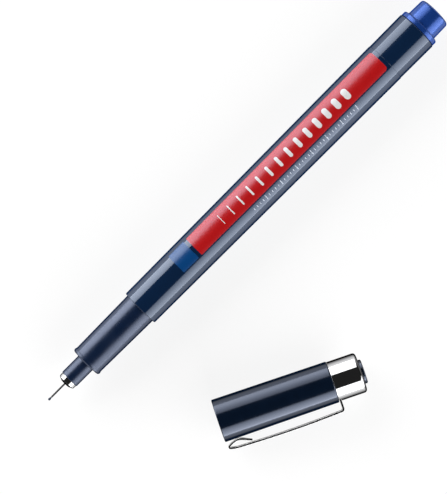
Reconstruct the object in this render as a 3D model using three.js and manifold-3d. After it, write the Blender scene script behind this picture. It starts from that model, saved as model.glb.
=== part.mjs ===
// A felt-tip pen of the fineliner kind, with its cap taken off and laid beside it.
// Millimetres, +Z up. Both lie on the surface z = 0, and the origin is the middle of their footprint.
// The pen lies along X with its writing point at the -X end. Each piece is a closed solid of its own,
// and lies a named clearance away from the piece that it is pressed into or seats on.
import * as THREE from "three";
import { mergeVertices } from "three/addons/utils/BufferGeometryUtils.js";
import Module from "manifold-3d";

const wasm = await Module();
wasm.setup();

// Clearances between pieces
const FIT_GAP = 0.03; // radial, between pressed pieces
const SEAT_GAP = 0.05; // along the axis, between faces that seat on each other
const FIBRE_GAP = 0.3; // along the axis, before and behind the wadding, and before the liner
const SLIDE_GAP = 0.1; // radial, where the cap slides over the grip
const SPRING_GAP = 0.12; // round the clip's yoke, and between its foot and the shell

// Facets round the thick pieces, and round the thin ones at the point
const SIDES = 48;
const FINE_SIDES = 24;

// Writing point: fibre nib, steel sleeve, and the steel ferrule that holds the sleeve
const NIB_RADIUS = 0.13;
const NIB_HEAD_RADIUS = 0.31;
const NIB_EXPOSED = 0.9;
const NIB_HIDDEN = 11.1; // behind the sleeve's front edge
const SLEEVE_WALL = 0.06;
const SLEEVE_EXPOSED = 4.64;
const SLEEVE_HIDDEN = 2.6;
const SLEEVE_CRIMP = 0.04; // how far the front edge is rolled in on the nib
const SLEEVE_CRIMP_LENGTH = 0.45;
const FERRULE_LENGTH = 1.54; // in view in front of the neck
const FERRULE_STEP = 0.14; // from the neck's surface down to the ferrule's
const FERRULE_DRAFT = 0.06;
const FERRULE_CONE_LENGTH = 0.42;
const FERRULE_NOSE_RADIUS = 1.2;
const FERRULE_EDGE_CHAMFER = 0.14;
const FERRULE_SPIGOT_LENGTH = 3.1;

// Grip section: one moulding with the slim neck, the grip, and the tail inside the barrel
const NECK_RADIUS = 2.42;
const NECK_WALL = 0.45;
const NECK_LENGTH = 5.52;
const NECK_EDGE_CHAMFER = 0.08;
const NECK_ROOT_ROUND = 0.35;
const GRIP_LENGTH = 18.2;
const GRIP_DRAFT = 0.25;
const GRIP_EDGE_CHAMFER = 0.15;
const GRIP_BEAD_HEIGHT = 0.15; // low ring behind the front edge, over which the cap clicks
const GRIP_BEAD_LENGTH = 0.8;
const TAIL_LENGTH = 11;
const TAIL_CUP_DEPTH = 7;
const TAIL_END_CHAMFER = 0.4;
const TAIL_BEAD_FROM_SHOULDER = 7;
const SNAP_BEAD_HEIGHT = 0.12;
const SNAP_BEAD_LENGTH = 1;

// Barrel, whose outside widens to the rear, with a slightly slimmer land at its rear end
const BARREL_LENGTH = 92.98;
const BARREL_FRONT_RADIUS = 4.85;
const BARREL_REAR_RADIUS = 5.31;
const BARREL_STEP = 0.61; // from the barrel's front edge down to the grip
const BARREL_EDGE_ROUND = 0.2;
const BARREL_REAR_WALL = 0.76;
const BORE_STEP = 0.33; // from the sockets at the ends down to the bore between them
const LAND_LENGTH = 10.75;
const LAND_STEP = 0.07;
const LAND_EDGE_CHAMFER = 0.2;
const RIB_COUNT = 6;
const RIB_WIDTH = 0.7;
const RIB_HEIGHT = 0.44;
const RIB_GAP = 0.06; // between the ribs and the wadding's film
const RIB_MARGIN = 1.2; // from the ends of the wadding

// Ink supply: feed wick, fibre wadding, and the film round the wadding
const WICK_RADIUS = 0.95;
const WICK_GAP = 0.05;
const WICK_IN_WADDING = 7;
const FILM_WALL = 0.15;

// End plug in the ink's colour
const FLANGE_LENGTH = 1.25;
const FLANGE_STEP = 0.13; // from the barrel's rear edge down to the flange
const FLANGE_EDGE_ROUND = 0.4;
const KNOB_LENGTH = 4.92;
const KNOB_STEP = 0.93; // from the flange down to the knob
const KNOB_DRAFT = 0.12;
const KNOB_END_ROUND = 0.8;
const KNOB_DOME = 0.2;
const KNOB_FLAT_RADIUS = 2.4;
const KNOB_ROOT_ROUND = 0.2;
const PLUG_SPIGOT_LENGTH = 6.5;
const PLUG_WALL = 0.95;
const PLUG_BEAD_FROM_FLANGE = 4;
const PRONG_LENGTH = 7.3; // in front of the spigot, down to the wadding
const PRONG_THICKNESS = 0.9;

// Cap shell and its sealing liner
const SHELL_WALL = 0.79;
const SHELL_DRAFT = 0.18;
const SHELL_RIM_ROUND = 0.2;
const SHELL_END_ROUND = 0.4;
const SHELL_SHOULDER_WALL = 1.42; // between the liner's shoulder and the crown
const SHELL_END_WALL = 2.2;
const LINER_STEP = 0.16; // from the grip's front radius down to the liner's outside
const LINER_LIP_WALL = 0.5;
const LINER_LEAD_IN = 1.4;
const LINER_LAND_LENGTH = 1.4;
const LINER_SEAL_GAP = 0.04;
const LINER_ROOM = 0.3; // round the neck and the ferrule, and in front of the ferrule
const LINER_SHOULDER_WALL = 0.85;
const LINER_NOSE_WALL = 0.85;
const LINER_FLOOR = 1.2;
const NIB_CHAMBER_RADIUS = 1.9;
const NIB_CHAMBER_SPARE = 0.8; // in front of the nib

// Bright crown over the shell's spigot, and the button in its end
const CROWN_STEP = 0.18; // from the shell's end down to the crown
const CROWN_SKIRT_WALL = 0.38;
const CROWN_END_WALL = 0.75;
const CROWN_END_ROUND = 0.75;
const CROWN_EDGE_CHAMFER = 0.1;
const BUTTON_RADIUS = 2.95;
const BUTTON_THICKNESS = 0.7;
const BUTTON_EDGE_CHAMFER = 0.2;
const BUTTON_STEM_RADIUS = 2.2;
const BUTTON_STEM_LENGTH = 1.6;

// Clip, one steel strip: a curved yoke under the crown's skirt, a leg out through a notch, a bowed
// arm along the shell, whose tip is bent in, and a foot that is folded back on the shell
const CLIP_THICKNESS = 0.45;
const CLIP_ROOT_WIDTH = 3.6;
const CLIP_END_WIDTH = 2.8;
const CLIP_END_ROUND = 0.8;
const CLIP_STANDOFF = 1.96; // from the shell's surface at the mouth to the middle of the strip
const CLIP_BOW = 0.5;
const CLIP_BOW_SHARE = 0.7; // of the arm's length that is curved
const CLIP_ROOT_BEND = 0.5;
const CLIP_TIP_FROM_MOUTH = 2.2;
const CLIP_TIP_BEND = 8;
const CLIP_TIP_SHARE = 0.27; // how far the tip is bent in, as a share of the room under the arm
const CLIP_FOLD_FROM_MOUTH = 0.55;
const CLIP_FOLD_SHARE = 0.64; // bend radius of the fold, as a share of the fold's height
const FOOT_FROM_MOUTH = 3;
const FOOT_BEND_SHARE = 2.76; // bend radius, as a share of the room under the arm
const FOOT_FOLD_SHARE = 0.69; // height at which the fold turns to the shell, as a share of that room
const FOOT_TAIL_SHARE = 1.76; // length of the straight tail, as a share of that room
const FOOT_LEAD_ANGLE = 27;
const FOOT_TAIL_ANGLE = 25;
const YOKE_WIDTH = 0.55;
const YOKE_HALF_ANGLE = 30;

// Where the cap lies: its mouth measured from the writing point, and its turn from the pen's line
const CAP_MOUTH_X = 24.88;
const CAP_MOUTH_Y = -32.02;
const CAP_TURN = -26.15;

// Colours and finishes
const NAVY = { color: 0x10233f, roughness: 0.28, metalness: 0 };
const NAVY_SATIN = { color: 0x10223e, roughness: 0.45, metalness: 0 };
const CAP_NAVY = { color: 0x0b1626, roughness: 0.22, metalness: 0 };
const INK_BLUE = { color: 0x1f4fc4, roughness: 0.3, metalness: 0 };
const CHROME = { color: 0xe6e7e8, roughness: 0.06, metalness: 1 };
const STEEL = { color: 0xc9cbcd, roughness: 0.18, metalness: 1 };
const NATURAL_PLASTIC = { color: 0xdfe2e0, roughness: 0.5, metalness: 0 };
const CLEAR_FILM = { color: 0xc8d6ee, roughness: 0.35, metalness: 0 };
const INKED_FIBRE = { color: 0x1b2f8f, roughness: 0.95, metalness: 0 };

// Radii of the pen, worked inward from the barrel
const gripRearRadius = BARREL_FRONT_RADIUS - BARREL_STEP;
const gripFrontRadius = gripRearRadius - GRIP_DRAFT;
const frontSocketRadius = gripRearRadius + FIT_GAP;
const plugSpigotRadius = BARREL_REAR_RADIUS - BARREL_REAR_WALL - FIT_GAP;
const rearSocketRadius = plugSpigotRadius + FIT_GAP;
const filmRadius = frontSocketRadius - BORE_STEP - RIB_HEIGHT - RIB_GAP;
const cupRadius = filmRadius + RIB_GAP;
const wickBoreRadius = WICK_RADIUS + WICK_GAP;
const flangeRadius = BARREL_REAR_RADIUS - FLANGE_STEP;
const knobFrontRadius = flangeRadius - KNOB_STEP;
const knobRearRadius = knobFrontRadius - KNOB_DRAFT;
const ferruleRearRadius = NECK_RADIUS - FERRULE_STEP;
const ferruleFrontRadius = ferruleRearRadius - FERRULE_DRAFT;
const ferruleSpigotRadius = NECK_RADIUS - NECK_WALL - FIT_GAP;
const sleeveBoreRadius = NIB_RADIUS + FIT_GAP;
const sleeveRadius = sleeveBoreRadius + SLEEVE_WALL;

// Places along the pen, from the writing point
const sleeveFront = NIB_EXPOSED;
const ferruleFront = sleeveFront + SLEEVE_EXPOSED;
const neckFront = ferruleFront + FERRULE_LENGTH;
const gripFront = neckFront + NECK_LENGTH;
const barrelFront = gripFront + GRIP_LENGTH;
const barrelRear = barrelFront + BARREL_LENGTH;
const flangeFront = barrelRear + SEAT_GAP;
const knobFront = flangeFront + FLANGE_LENGTH;
const penEnd = knobFront + KNOB_LENGTH;
const ferruleSocketFloor = neckFront + FERRULE_SPIGOT_LENGTH + SEAT_GAP;
const sleeveRear = ferruleFront + SLEEVE_HIDDEN;
const wickFront = sleeveRear + SEAT_GAP;
const nibRear = sleeveFront + NIB_HIDDEN;
const tailEnd = barrelFront + TAIL_LENGTH;
const cupFloor = tailEnd - TAIL_CUP_DEPTH;
const landFront = barrelRear - LAND_LENGTH;
const plugSpigotFront = barrelRear - PLUG_SPIGOT_LENGTH;
const prongFront = plugSpigotFront - PRONG_LENGTH;
const waddingFront = cupFloor + FIBRE_GAP;
const waddingRear = prongFront - FIBRE_GAP;
const wickRear = waddingFront + WICK_IN_WADDING;
const tailBeadFront = barrelFront + TAIL_BEAD_FROM_SHOULDER;
const plugBeadFront = barrelRear - PLUG_BEAD_FROM_FLANGE - SNAP_BEAD_LENGTH;

// Places along the cap, from its mouth, which meets the barrel's front edge when the cap is on
const linerFront = GRIP_LENGTH + FIBRE_GAP;
const chamberStart = barrelFront - ferruleFront + LINER_ROOM;
const linerRoomRadius = NECK_RADIUS + LINER_ROOM;
const chamberCone = chamberStart + linerRoomRadius - NIB_CHAMBER_RADIUS;
const linerShoulder = chamberCone + LINER_SHOULDER_WALL;
const linerRear = barrelFront + NIB_CHAMBER_SPARE + LINER_FLOOR;
const shellEnd = linerShoulder + SEAT_GAP + SHELL_SHOULDER_WALL;
const spigotEnd = linerRear + SEAT_GAP + SHELL_END_WALL;
const crownFront = shellEnd + SEAT_GAP;
const crownEnd = spigotEnd + SEAT_GAP + CROWN_END_WALL;
const clipMiddle = shellEnd + SPRING_GAP + CLIP_THICKNESS / 2;
const skirtFloor = clipMiddle + CLIP_THICKNESS / 2 + SPRING_GAP;

// The straight side of a taper: its radius at x, between two stations.
function taper(x, fromX, fromRadius, toX, toRadius) {
  return fromRadius + ((toRadius - fromRadius) * (x - fromX)) / (toX - fromX);
}

const gripRadiusAt = (x) => taper(x, gripFront, gripFrontRadius, barrelFront, gripRearRadius);
const boreRadiusAt = (x) =>
  taper(x, tailEnd, frontSocketRadius - BORE_STEP, plugSpigotFront, rearSocketRadius - BORE_STEP);
const capBoreRadiusAt = (x) => gripRadiusAt(barrelFront - x) + GRIP_BEAD_HEIGHT + SLIDE_GAP;

// Radii of the cap, worked outward from the grip to the shell and inward from the shell to the spigot
const shellMouthRadius = capBoreRadiusAt(0) + SHELL_WALL;
const shellRearRadius = shellMouthRadius - SHELL_DRAFT;
const shellRadiusAt = (x) => taper(x, 0, shellMouthRadius, shellEnd, shellRearRadius);
const linerRadius = gripFrontRadius - LINER_STEP;
const linerNoseRadius = NIB_CHAMBER_RADIUS + LINER_NOSE_WALL;
const crownRadius = shellRearRadius - CROWN_STEP;
const skirtRadius = crownRadius - CROWN_SKIRT_WALL;
const yokeOuterRadius = skirtRadius - SPRING_GAP;
const yokeInnerRadius = yokeOuterRadius - YOKE_WIDTH;
const spigotRadius = yokeInnerRadius - SPRING_GAP;
const stemHoleRadius = BUTTON_STEM_RADIUS + FIT_GAP;
const clipReach = shellMouthRadius + CLIP_STANDOFF;

// Points of an arc in a profile, as [x, radius], from one angle to the other in degrees.
function arc(x, radius, size, fromDegrees, toDegrees, steps = 3) {
  const points = [];
  for (let i = 0; i <= steps; i += 1) {
    const angle = THREE.MathUtils.degToRad(fromDegrees + ((toDegrees - fromDegrees) * i) / steps);
    points.push([x + size * Math.cos(angle), radius + size * Math.sin(angle)]);
  }
  return points;
}

// A low rounded ring on a surface whose radius at x is given, or the groove that takes the ring.
function bead(front, length, radiusAt, height, steps = 3) {
  const points = [];
  for (let i = 0; i <= steps; i += 1) {
    const x = front + (length * i) / steps;
    points.push([x, radiusAt(x) + height * Math.sin((Math.PI * i) / steps)]);
  }
  return points;
}

// The solid of revolution about X of a profile of [x, radius] points, listed along the outside from
// front to rear and back along the inside. It is turned so that a facet and not an edge lies lowest.
function revolve(profile, sides = SIDES) {
  const points = profile.map(([x, radius]) => new THREE.Vector2(radius, x));
  return new THREE.LatheGeometry(points, sides).rotateZ(-Math.PI / 2).rotateX(Math.PI / sides);
}

function closed(profile) {
  return [...profile, profile[0]];
}

// A closed geometry as a solid that can be joined and cut, and the solid as a geometry again.
function solidOf(geometry) {
  const bare = geometry.clone();
  bare.deleteAttribute("normal");
  bare.deleteAttribute("uv");
  const merged = mergeVertices(bare, 1e-4);
  return new wasm.Manifold(
    new wasm.Mesh({
      numProp: 3,
      vertProperties: merged.attributes.position.array,
      triVerts: new Uint32Array(merged.index.array),
    }),
  );
}

function geometryOf(solid) {
  const mesh = solid.getMesh();
  return new THREE.BufferGeometry()
    .setAttribute("position", new THREE.BufferAttribute(new Float32Array(mesh.vertProperties), 3))
    .setIndex(new THREE.BufferAttribute(new Uint32Array(mesh.triVerts), 1));
}

function piece(name, geometry, finish) {
  const mesh = new THREE.Mesh(geometry, new THREE.MeshStandardMaterial(finish));
  mesh.name = name;
  return mesh;
}

// Fibre nib: a round head on the sleeve's front edge, and a thin rod back into the feed wick.
function fibreNib() {
  const headRear = sleeveFront - SEAT_GAP;
  return revolve(
    [
      [0, 0],
      ...arc(NIB_HEAD_RADIUS, 0, NIB_HEAD_RADIUS, 155, 80),
      [headRear, sleeveRadius - SLEEVE_CRIMP],
      [headRear, NIB_RADIUS],
      [nibRear, NIB_RADIUS],
      [nibRear, 0],
    ],
    FINE_SIDES,
  );
}

// Steel sleeve: a thin tube whose front edge is rolled in on the nib.
function steelSleeve() {
  return revolve(
    closed([
      [sleeveFront, sleeveBoreRadius],
      [sleeveFront, sleeveRadius - SLEEVE_CRIMP],
      [sleeveFront + SLEEVE_CRIMP_LENGTH, sleeveRadius],
      [sleeveRear, sleeveRadius],
      [sleeveRear, sleeveBoreRadius],
    ]),
    FINE_SIDES,
  );
}

// Ferrule: a turned steel nose with a blunt cone, and a spigot that is pressed into the neck.
function tipFerrule() {
  const bore = sleeveRadius + FIT_GAP;
  const coneEnd = ferruleFront + FERRULE_CONE_LENGTH;
  const seat = neckFront - SEAT_GAP;
  const spigotRear = neckFront + FERRULE_SPIGOT_LENGTH;
  return revolve(
    closed([
      [ferruleFront, bore],
      [ferruleFront, FERRULE_NOSE_RADIUS],
      [coneEnd, ferruleFrontRadius - FERRULE_EDGE_CHAMFER],
      [coneEnd + FERRULE_EDGE_CHAMFER, ferruleFrontRadius],
      [seat, ferruleRearRadius],
      [seat, ferruleSpigotRadius],
      [spigotRear, ferruleSpigotRadius],
      [spigotRear, wickBoreRadius],
      [sleeveRear, wickBoreRadius],
      [sleeveRear, bore],
    ]),
  );
}

// Grip section: neck, grip with a low bead behind its front edge, and a tail with a snap bead. It is
// bored for the ferrule, for the wick, and at the rear for the front end of the wadding.
function gripSection() {
  const socket = ferruleSpigotRadius + FIT_GAP;
  const rootMiddle = gripFront - NECK_ROOT_ROUND;
  return revolve(
    closed([
      [neckFront, socket],
      [neckFront, NECK_RADIUS - NECK_EDGE_CHAMFER],
      [neckFront + NECK_EDGE_CHAMFER, NECK_RADIUS],
      ...arc(rootMiddle, NECK_RADIUS + NECK_ROOT_ROUND, NECK_ROOT_ROUND, 270, 360),
      [gripFront, gripFrontRadius - GRIP_EDGE_CHAMFER],
      ...bead(gripFront + GRIP_EDGE_CHAMFER, GRIP_BEAD_LENGTH, gripRadiusAt, GRIP_BEAD_HEIGHT, 4),
      [barrelFront, gripRearRadius],
      ...bead(tailBeadFront, SNAP_BEAD_LENGTH, () => gripRearRadius, SNAP_BEAD_HEIGHT),
      [tailEnd - TAIL_END_CHAMFER, gripRearRadius],
      [tailEnd, gripRearRadius - TAIL_END_CHAMFER],
      [tailEnd, cupRadius],
      [cupFloor, cupRadius],
      [cupFloor, wickBoreRadius],
      [ferruleSocketFloor, wickBoreRadius],
      [ferruleSocketFloor, socket],
    ]),
  );
}

// Feed wick: a fibre rod that carries ink from the wadding to the nib, drilled for the nib's end.
function feedWick() {
  const nibHole = NIB_RADIUS + FIT_GAP;
  const holeFloor = nibRear + SEAT_GAP;
  return revolve(
    [
      [holeFloor, 0],
      [holeFloor, nibHole],
      [wickFront, nibHole],
      [wickFront, WICK_RADIUS],
      [wickRear, WICK_RADIUS],
      [wickRear, 0],
    ],
    FINE_SIDES,
  );
}

// Wadding: the fibre bundle that holds the ink, with the hole that the wick makes in its front end.
function inkWadding() {
  const radius = filmRadius - FILM_WALL - FIT_GAP;
  const wickHole = WICK_RADIUS + FIT_GAP;
  const holeFloor = wickRear + SEAT_GAP;
  return revolve([
    [holeFloor, 0],
    [holeFloor, wickHole],
    [waddingFront, wickHole],
    [waddingFront, radius],
    [waddingRear, radius],
    [waddingRear, 0],
  ]);
}

function waddingFilm() {
  const inner = filmRadius - FILM_WALL;
  return revolve(
    closed([
      [waddingFront, inner],
      [waddingFront, filmRadius],
      [waddingRear, filmRadius],
      [waddingRear, inner],
    ]),
  );
}

// Barrel: a drafted tube with a socket and a snap groove at each end, and ribs along its bore that
// centre the wadding and let air pass.
function barrel() {
  const front = barrelFront + BARREL_EDGE_ROUND;
  const frontFloor = tailEnd + SEAT_GAP;
  const rearFloor = plugSpigotFront - SEAT_GAP;
  const tube = revolve(
    closed([
      ...arc(front, BARREL_FRONT_RADIUS - BARREL_EDGE_ROUND, BARREL_EDGE_ROUND, 180, 90, 2),
      [landFront, BARREL_REAR_RADIUS],
      [landFront + LAND_STEP, BARREL_REAR_RADIUS - LAND_STEP],
      [barrelRear - LAND_EDGE_CHAMFER, BARREL_REAR_RADIUS],
      [barrelRear, BARREL_REAR_RADIUS - LAND_EDGE_CHAMFER],
      [barrelRear, rearSocketRadius],
      ...bead(plugBeadFront, SNAP_BEAD_LENGTH, () => rearSocketRadius, SNAP_BEAD_HEIGHT).reverse(),
      [rearFloor, rearSocketRadius],
      [rearFloor, boreRadiusAt(rearFloor)],
      [frontFloor, boreRadiusAt(frontFloor)],
      [frontFloor, frontSocketRadius],
      ...bead(tailBeadFront, SNAP_BEAD_LENGTH, () => frontSocketRadius, SNAP_BEAD_HEIGHT).reverse(),
      [barrelFront, frontSocketRadius],
    ]),
  );
  const ribFront = frontFloor + RIB_MARGIN;
  const ribLength = waddingRear - RIB_MARGIN - ribFront;
  const ribOuter = boreRadiusAt(waddingRear) + BORE_STEP;
  let solid = solidOf(tube);
  for (let i = 0; i < RIB_COUNT; i += 1) {
    const rib = new THREE.BoxGeometry(ribLength, RIB_WIDTH, ribOuter - cupRadius)
      .translate(ribFront + ribLength / 2, 0, (cupRadius + ribOuter) / 2)
      .rotateX((2 * Math.PI * i) / RIB_COUNT);
    solid = solid.add(solidOf(rib));
  }
  return geometryOf(solid);
}

// End plug: a hollow moulding with a knob, a flange against the barrel, a spigot with a snap bead,
// and two crossed prongs that keep the wadding forward.
function endPlug() {
  const domeFront = penEnd - KNOB_DOME;
  const endMiddle = domeFront - KNOB_END_ROUND;
  const flangeMiddle = knobFront - FLANGE_EDGE_ROUND;
  const rootMiddle = knobFront + KNOB_ROOT_ROUND;
  const hollowEnd = domeFront - PLUG_WALL;
  const hollowRadius = knobRearRadius - PLUG_WALL;
  const cup = revolve([
    [hollowEnd, 0],
    [hollowEnd, hollowRadius],
    [plugSpigotFront, hollowRadius],
    [plugSpigotFront, plugSpigotRadius],
    ...bead(plugBeadFront, SNAP_BEAD_LENGTH, () => plugSpigotRadius, SNAP_BEAD_HEIGHT),
    [flangeFront, plugSpigotRadius],
    [flangeFront, flangeRadius],
    ...arc(flangeMiddle, flangeRadius - FLANGE_EDGE_ROUND, FLANGE_EDGE_ROUND, 90, 0),
    ...arc(rootMiddle, knobFrontRadius + KNOB_ROOT_ROUND, KNOB_ROOT_ROUND, 180, 270, 2),
    ...arc(endMiddle, knobRearRadius - KNOB_END_ROUND, KNOB_END_ROUND, 90, 15, 4),
    [penEnd, KNOB_FLAT_RADIUS],
    [penEnd, 0],
  ]);
  const wallMiddle = hollowRadius + PLUG_WALL / 3;
  const length = hollowEnd + PLUG_WALL / 2 - prongFront;
  const prong = new THREE.BoxGeometry(length, PRONG_THICKNESS, 2 * wallMiddle)
    .translate(prongFront + length / 2, 0, 0);
  const crossed = solidOf(prong).add(solidOf(prong.clone().rotateX(Math.PI / 2)));
  const reach = revolve([
    [prongFront, 0],
    [prongFront, wallMiddle],
    [penEnd, wallMiddle],
    [penEnd, 0],
  ]);
  return geometryOf(solidOf(cup).add(crossed.intersect(solidOf(reach))));
}

// Cap shell: a drafted sleeve that slides over the grip, bored in two steps for the liner. A slimmer
// spigot behind its end face carries the crown, and its end wall holds the button's stem.
function capShell() {
  const socket = linerRadius + FIT_GAP;
  const noseSocket = linerNoseRadius + FIT_GAP;
  const socketFront = linerFront - SEAT_GAP;
  const socketShoulder = linerShoulder + SEAT_GAP;
  const socketFloor = linerRear + SEAT_GAP;
  const endMiddle = shellEnd - SHELL_END_ROUND;
  return revolve(
    closed([
      [0, capBoreRadiusAt(0)],
      ...arc(SHELL_RIM_ROUND, shellMouthRadius - SHELL_RIM_ROUND, SHELL_RIM_ROUND, 180, 90),
      ...arc(endMiddle, shellRearRadius - SHELL_END_ROUND, SHELL_END_ROUND, 90, 0),
      [shellEnd, spigotRadius],
      [spigotEnd, spigotRadius],
      [spigotEnd, stemHoleRadius],
      [socketFloor, stemHoleRadius],
      [socketFloor, noseSocket],
      [socketShoulder, noseSocket],
      [socketShoulder, socket],
      [socketFront, socket],
      [socketFront, capBoreRadiusAt(socketFront)],
    ]),
  );
}

// Sealing liner: a soft cup pressed into the shell. Its land closes round the neck, and its slim
// chamber clears the steel sleeve and the nib.
function sealingLiner() {
  const land = NECK_RADIUS + LINER_SEAL_GAP;
  const landFrontEdge = linerFront + LINER_LEAD_IN;
  const landRearEdge = landFrontEdge + LINER_LAND_LENGTH;
  const chamberFloor = linerRear - LINER_FLOOR;
  return revolve([
    [chamberFloor, 0],
    [chamberFloor, NIB_CHAMBER_RADIUS],
    [chamberCone, NIB_CHAMBER_RADIUS],
    [chamberStart, linerRoomRadius],
    [landRearEdge + LINER_ROOM, linerRoomRadius],
    [landRearEdge, land],
    [landFrontEdge, land],
    [linerFront, linerRadius - LINER_LIP_WALL],
    [linerFront, linerRadius],
    [linerShoulder, linerRadius],
    [linerShoulder, linerNoseRadius],
    [linerRear, linerNoseRadius],
    [linerRear, 0],
  ]);
}

// Bright crown: a cup over the spigot. Its front is bored wider for the clip's yoke, its skirt is
// notched for the clip's leg, and its end is pierced for the button's stem.
function brightCrown() {
  const bore = spigotRadius + FIT_GAP;
  const floor = crownEnd - CROWN_END_WALL;
  const endMiddle = crownEnd - CROWN_END_ROUND;
  const cup = revolve(
    closed([
      [crownFront, skirtRadius],
      [crownFront, crownRadius - CROWN_EDGE_CHAMFER],
      [crownFront + CROWN_EDGE_CHAMFER, crownRadius],
      ...arc(endMiddle, crownRadius - CROWN_END_ROUND, CROWN_END_ROUND, 90, 0, 5),
      [crownEnd, stemHoleRadius],
      [floor, stemHoleRadius],
      [floor, bore],
      [skirtFloor, bore],
      [skirtFloor, skirtRadius],
    ]),
  );
  const notchWidth = CLIP_ROOT_WIDTH + 2 * SPRING_GAP;
  const notch = new THREE.BoxGeometry(2 * (skirtFloor - crownFront), crownRadius, notchWidth)
    .translate(crownFront, -spigotRadius - crownRadius / 2, 0);
  return geometryOf(solidOf(cup).subtract(solidOf(notch)));
}

// End button: a moulded disc whose stem is pressed through the crown into the shell.
function endButton() {
  const front = crownEnd + SEAT_GAP;
  const rear = front + BUTTON_THICKNESS;
  const stemFront = front - BUTTON_STEM_LENGTH;
  return revolve([
    [stemFront, 0],
    [stemFront, BUTTON_STEM_RADIUS],
    [front, BUTTON_STEM_RADIUS],
    [front, BUTTON_RADIUS],
    [rear - BUTTON_EDGE_CHAMFER, BUTTON_RADIUS],
    [rear, BUTTON_RADIUS - BUTTON_EDGE_CHAMFER],
    [rear, 0],
  ]);
}

// A line through points, as Vector2s. Each point with a bend radius is rounded to it in some steps.
function bentLine(corners) {
  const at = (corner) => new THREE.Vector2(corner.x, corner.y);
  return corners.flatMap((corner, i) => {
    if (!corner.bend) {
      return [at(corner)];
    }
    const back = at(corners[i - 1]).sub(at(corner)).normalize();
    const on = at(corners[i + 1]).sub(at(corner)).normalize();
    const halfAngle = Math.acos(back.dot(on)) / 2;
    const toCentre = back.clone().add(on).normalize().multiplyScalar(corner.bend / Math.sin(halfAngle));
    const tangent = corner.bend / Math.tan(halfAngle);
    const start = back.multiplyScalar(tangent).sub(toCentre);
    const end = on.multiplyScalar(tangent).sub(toCentre);
    const turn = Math.atan2(start.cross(end), start.dot(end));
    return Array.from({ length: corner.steps + 1 }, (_, step) =>
      start
        .clone()
        .rotateAround(new THREE.Vector2(), (turn * step) / corner.steps)
        .add(toCentre)
        .add(at(corner)),
    );
  });
}

// The outline of a strip of one thickness that follows a line of points.
function stripShape(line, thickness) {
  const side = (offset) =>
    line.map((point, i) => {
      const before = line[Math.max(i - 1, 0)];
      const after = line[Math.min(i + 1, line.length - 1)];
      const along = after.clone().sub(before).normalize();
      return new THREE.Vector2(point.x - offset * along.y, point.y + offset * along.x);
    });
  return new THREE.Shape([...side(-thickness / 2), ...side(thickness / 2).reverse()]);
}

// The middle line of the clip's strip, seen from its side: x along the cap, y out from its axis. The
// foot is an arc that all but touches the shell, and its size follows from the room under the arm.
function clipLine() {
  const bowMiddle = (CLIP_FOLD_FROM_MOUTH + clipMiddle) / 2;
  const bowHalf = bowMiddle - CLIP_FOLD_FROM_MOUTH;
  const bowBend = (CLIP_BOW_SHARE * bowHalf * bowHalf) / CLIP_BOW;
  const armSlope = CLIP_BOW / bowHalf;
  const tipStart = clipReach + armSlope * (CLIP_TIP_FROM_MOUTH - CLIP_FOLD_FROM_MOUTH);
  const footHeight = shellRadiusAt(FOOT_FROM_MOUTH) + SPRING_GAP + CLIP_THICKNESS / 2;
  const room = clipReach - footHeight - CLIP_THICKNESS;
  const foldTop = clipReach - CLIP_TIP_SHARE * room;
  const foldLow = footHeight + FOOT_FOLD_SHARE * room;
  const foldBend = CLIP_FOLD_SHARE * (foldTop - foldLow);
  const footBend = FOOT_BEND_SHARE * room;
  const footMiddle = footHeight + footBend;
  const foot = arc(FOOT_FROM_MOUTH, footMiddle, footBend, 270 - FOOT_LEAD_ANGLE, 270 + FOOT_TAIL_ANGLE, 6);
  const [lastX, lastY] = foot[foot.length - 1];
  const tailAngle = THREE.MathUtils.degToRad(FOOT_TAIL_ANGLE);
  const tail = FOOT_TAIL_SHARE * room;
  return bentLine([
    { x: clipMiddle, y: (yokeInnerRadius + yokeOuterRadius) / 2 },
    { x: clipMiddle, y: clipReach, bend: CLIP_ROOT_BEND, steps: 5 },
    { x: bowMiddle, y: clipReach + CLIP_BOW, bend: bowBend, steps: 8 },
    { x: CLIP_TIP_FROM_MOUTH, y: tipStart, bend: CLIP_TIP_BEND, steps: 3 },
    { x: CLIP_FOLD_FROM_MOUTH, y: foldTop, bend: foldBend, steps: 5 },
    { x: CLIP_FOLD_FROM_MOUTH, y: foldLow, bend: foldBend, steps: 4 },
    ...foot.map(([x, y]) => ({ x, y })),
    { x: lastX + tail * Math.cos(tailAngle), y: lastY + tail * Math.sin(tailAngle) },
  ]);
}

// The clip's outline seen square to the strip: it narrows to the fold and has rounded corners there.
function clipPlan() {
  const root = clipMiddle + CLIP_THICKNESS;
  const end = CLIP_FOLD_FROM_MOUTH - CLIP_THICKNESS;
  const rootHalf = CLIP_ROOT_WIDTH / 2;
  const endHalf = CLIP_END_WIDTH / 2;
  const plan = new THREE.Shape();
  plan.moveTo(root, -rootHalf);
  plan.lineTo(root, rootHalf);
  plan.lineTo(end + CLIP_END_ROUND, endHalf);
  plan.quadraticCurveTo(end, endHalf, end, endHalf - CLIP_END_ROUND);
  plan.lineTo(end, CLIP_END_ROUND - endHalf);
  plan.quadraticCurveTo(end, -endHalf, end + CLIP_END_ROUND, -endHalf);
  plan.closePath();
  return plan;
}

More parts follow.
